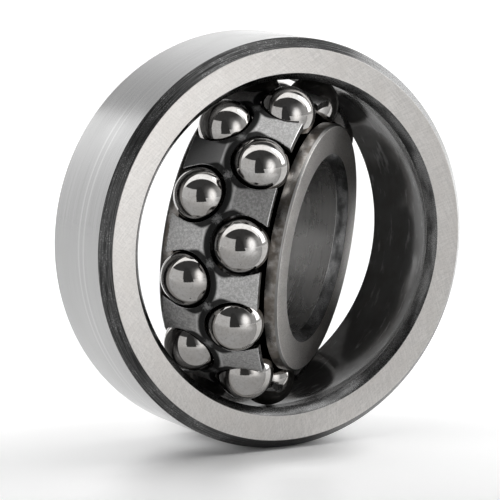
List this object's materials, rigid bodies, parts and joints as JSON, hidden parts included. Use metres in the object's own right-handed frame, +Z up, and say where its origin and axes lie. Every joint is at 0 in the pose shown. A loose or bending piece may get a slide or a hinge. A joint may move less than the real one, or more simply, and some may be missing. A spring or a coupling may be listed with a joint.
{
  "type": "self-aligning ball bearing",
  "caption": "Self-aligning bearing: two staggered ball rows in a pressed prong cage, its inner ring swivelled out of the outer ring's spherical raceway.",
  "frame": {"origin": "centre of the spherical raceway, on the outer ring's axis midway between its faces", "axes": "+Y along the outer ring's axis towards its back face, so the front face looks to -Y; +Z up with the ring standing on its rim; the inner ring's front axis is swivelled towards +X and a little down"},
  "size_m": [0.047, 0.0328, 0.047],
  "materials": {
    "outer_ring": "ground and honed bearing steel",
    "inner_ring": "ground bearing steel",
    "cage": "pressed sheet steel, matt",
    "ball": "mirror polished chromium steel"
  },
  "bodies": {
    "outer_ring": {"outer_ring": "outer_ring"},
    "cage": {"cage": "cage"},
    "inner_ring": {"inner_ring": "inner_ring"},
    "ball_front_01": {"ball_front_01": "ball"},
    "ball_front_02": {"ball_front_02": "ball"},
    "ball_front_03": {"ball_front_03": "ball"},
    "ball_front_04": {"ball_front_04": "ball"},
    "ball_front_05": {"ball_front_05": "ball"},
    "ball_front_06": {"ball_front_06": "ball"},
    "ball_front_07": {"ball_front_07": "ball"},
    "ball_front_08": {"ball_front_08": "ball"},
    "ball_front_09": {"ball_front_09": "ball"},
    "ball_front_10": {"ball_front_10": "ball"},
    "ball_front_11": {"ball_front_11": "ball"},
    "ball_back_01": {"ball_back_01": "ball"},
    "ball_back_02": {"ball_back_02": "ball"},
    "ball_back_03": {"ball_back_03": "ball"},
    "ball_back_04": {"ball_back_04": "ball"},
    "ball_back_05": {"ball_back_05": "ball"},
    "ball_back_06": {"ball_back_06": "ball"},
    "ball_back_07": {"ball_back_07": "ball"},
    "ball_back_08": {"ball_back_08": "ball"},
    "ball_back_09": {"ball_back_09": "ball"},
    "ball_back_10": {"ball_back_10": "ball"},
    "ball_back_11": {"ball_back_11": "ball"}
  },
  "joints": [
    {"name": "swivel", "type": "hinge", "parent": "outer_ring", "child": "cage", "pos_m": [0, 0, 0], "axis": [0.1871, 0, 0.9823], "continuous": true},
    {"name": "inner_ring_spin", "type": "hinge", "parent": "cage", "child": "inner_ring", "pos_m": [0, 0, 0], "axis": [0.6763, -0.7253, -0.1288], "continuous": true},
    {"name": "ball_front_01_roll", "type": "hinge", "parent": "cage", "child": "ball_front_01", "pos_m": [0.01222, 0.00872, -0.00671], "axis": [0.558, -0.8277, -0.0602], "continuous": true},
    {"name": "ball_front_02_roll", "type": "hinge", "parent": "cage", "child": "ball_front_02", "pos_m": [0.00734, 0.00541, -0.01368], "axis": [0.6092, -0.7929, 0.0131], "continuous": true},
    {"name": "ball_front_03_roll", "type": "hinge", "parent": "cage", "child": "ball_front_03", "pos_m": [0.00073, -0.00026, -0.01643], "axis": [0.6786, -0.7333, 0.0419], "continuous": true},
    {"name": "ball_front_04_roll", "type": "hinge", "parent": "cage", "child": "ball_front_04", "pos_m": [-0.00551, -0.0065, -0.01407], "axis": [0.7442, -0.6677, 0.0171], "continuous": true},
    {"name": "ball_front_05_roll", "type": "hinge", "parent": "cage", "child": "ball_front_05", "pos_m": [-0.0094, -0.01132, -0.00736], "axis": [0.7851, -0.6171, -0.0534], "continuous": true},
    {"name": "ball_front_06_roll", "type": "hinge", "parent": "cage", "child": "ball_front_06", "pos_m": [-0.0097, -0.01319, 0.00157], "axis": [0.7883, -0.5975, -0.1473], "continuous": true},
    {"name": "ball_front_07_roll", "type": "hinge", "parent": "cage", "child": "ball_front_07", "pos_m": [-0.00632, -0.01151, 0.00989], "axis": [0.7528, -0.615, -0.2346], "continuous": true},
    {"name": "ball_front_08_roll", "type": "hinge", "parent": "cage", "child": "ball_front_08", "pos_m": [-0.00034, -0.00683, 0.01495], "axis": [0.6899, -0.6642, -0.2878], "continuous": true},
    {"name": "ball_front_09_roll", "type": "hinge", "parent": "cage", "child": "ball_front_09", "pos_m": [0.00636, -0.00063, 0.01515], "axis": [0.6196, -0.7294, -0.2899], "continuous": true},
    {"name": "ball_front_10_roll", "type": "hinge", "parent": "cage", "child": "ball_front_10", "pos_m": [0.01163, 0.00514, 0.01043], "axis": [0.5641, -0.79, -0.2403], "continuous": true},
    {"name": "ball_front_11_roll", "type": "hinge", "parent": "cage", "child": "ball_front_11", "pos_m": [0.01382, 0.00862, 0.00228], "axis": [0.5412, -0.8266, -0.1546], "continuous": true},
    {"name": "ball_back_01_roll", "type": "hinge", "parent": "cage", "child": "ball_back_01", "pos_m": [0.00632, 0.01151, -0.00989], "axis": [0.7528, -0.615, -0.2346], "continuous": true},
    {"name": "ball_back_02_roll", "type": "hinge", "parent": "cage", "child": "ball_back_02", "pos_m": [0.00034, 0.00683, -0.01495], "axis": [0.6899, -0.6642, -0.2878], "continuous": true},
    {"name": "ball_back_03_roll", "type": "hinge", "parent": "cage", "child": "ball_back_03", "pos_m": [-0.00636, 0.00063, -0.01515], "axis": [0.6196, -0.7294, -0.2899], "continuous": true},
    {"name": "ball_back_04_roll", "type": "hinge", "parent": "cage", "child": "ball_back_04", "pos_m": [-0.01163, -0.00514, -0.01043], "axis": [0.5641, -0.79, -0.2403], "continuous": true},
    {"name": "ball_back_05_roll", "type": "hinge", "parent": "cage", "child": "ball_back_05", "pos_m": [-0.01382, -0.00862, -0.00228], "axis": [0.5412, -0.8266, -0.1546], "continuous": true},
    {"name": "ball_back_06_roll", "type": "hinge", "parent": "cage", "child": "ball_back_06", "pos_m": [-0.01222, -0.00872, 0.00671], "axis": [0.558, -0.8277, -0.0602], "continuous": true},
    {"name": "ball_back_07_roll", "type": "hinge", "parent": "cage", "child": "ball_back_07", "pos_m": [-0.00734, -0.00541, 0.01368], "axis": [0.6092, -0.7929, 0.0131], "continuous": true},
    {"name": "ball_back_08_roll", "type": "hinge", "parent": "cage", "child": "ball_back_08", "pos_m": [-0.00073, 0.00026, 0.01643], "axis": [0.6786, -0.7333, 0.0419], "continuous": true},
    {"name": "ball_back_09_roll", "type": "hinge", "parent": "cage", "child": "ball_back_09", "pos_m": [0.00551, 0.0065, 0.01407], "axis": [0.7442, -0.6677, 0.0171], "continuous": true},
    {"name": "ball_back_10_roll", "type": "hinge", "parent": "cage", "child": "ball_back_10", "pos_m": [0.0094, 0.01132, 0.00736], "axis": [0.7851, -0.6171, -0.0534], "continuous": true},
    {"name": "ball_back_11_roll", "type": "hinge", "parent": "cage", "child": "ball_back_11", "pos_m": [0.0097, 0.01319, -0.00157], "axis": [0.7883, -0.5975, -0.1473], "continuous": true}
  ],
  "couplings": [
    {"joint": "ball_front_01_roll", "follows": "inner_ring_spin", "ratio": -4.1185},
    {"joint": "ball_front_02_roll", "follows": "inner_ring_spin", "ratio": -4.1185},
    {"joint": "ball_front_03_roll", "follows": "inner_ring_spin", "ratio": -4.1185},
    {"joint": "ball_front_04_roll", "follows": "inner_ring_spin", "ratio": -4.1185},
    {"joint": "ball_front_05_roll", "follows": "inner_ring_spin", "ratio": -4.1185},
    {"joint": "ball_front_06_roll", "follows": "inner_ring_spin", "ratio": -4.1185},
    {"joint": "ball_front_07_roll", "follows": "inner_ring_spin", "ratio": -4.1185},
    {"joint": "ball_front_08_roll", "follows": "inner_ring_spin", "ratio": -4.1185},
    {"joint": "ball_front_09_roll", "follows": "inner_ring_spin", "ratio": -4.1185},
    {"joint": "ball_front_10_roll", "follows": "inner_ring_spin", "ratio": -4.1185},
    {"joint": "ball_front_11_roll", "follows": "inner_ring_spin", "ratio": -4.1185},
    {"joint": "ball_back_01_roll", "follows": "inner_ring_spin", "ratio": -4.1185},
    {"joint": "ball_back_02_roll", "follows": "inner_ring_spin", "ratio": -4.1185},
    {"joint": "ball_back_03_roll", "follows": "inner_ring_spin", "ratio": -4.1185},
    {"joint": "ball_back_04_roll", "follows": "inner_ring_spin", "ratio": -4.1185},
    {"joint": "ball_back_05_roll", "follows": "inner_ring_spin", "ratio": -4.1185},
    {"joint": "ball_back_06_roll", "follows": "inner_ring_spin", "ratio": -4.1185},
    {"joint": "ball_back_07_roll", "follows": "inner_ring_spin", "ratio": -4.1185},
    {"joint": "ball_back_08_roll", "follows": "inner_ring_spin", "ratio": -4.1185},
    {"joint": "ball_back_09_roll", "follows": "inner_ring_spin", "ratio": -4.1185},
    {"joint": "ball_back_10_roll", "follows": "inner_ring_spin", "ratio": -4.1185},
    {"joint": "ball_back_11_roll", "follows": "inner_ring_spin", "ratio": -4.1185}
  ]
}
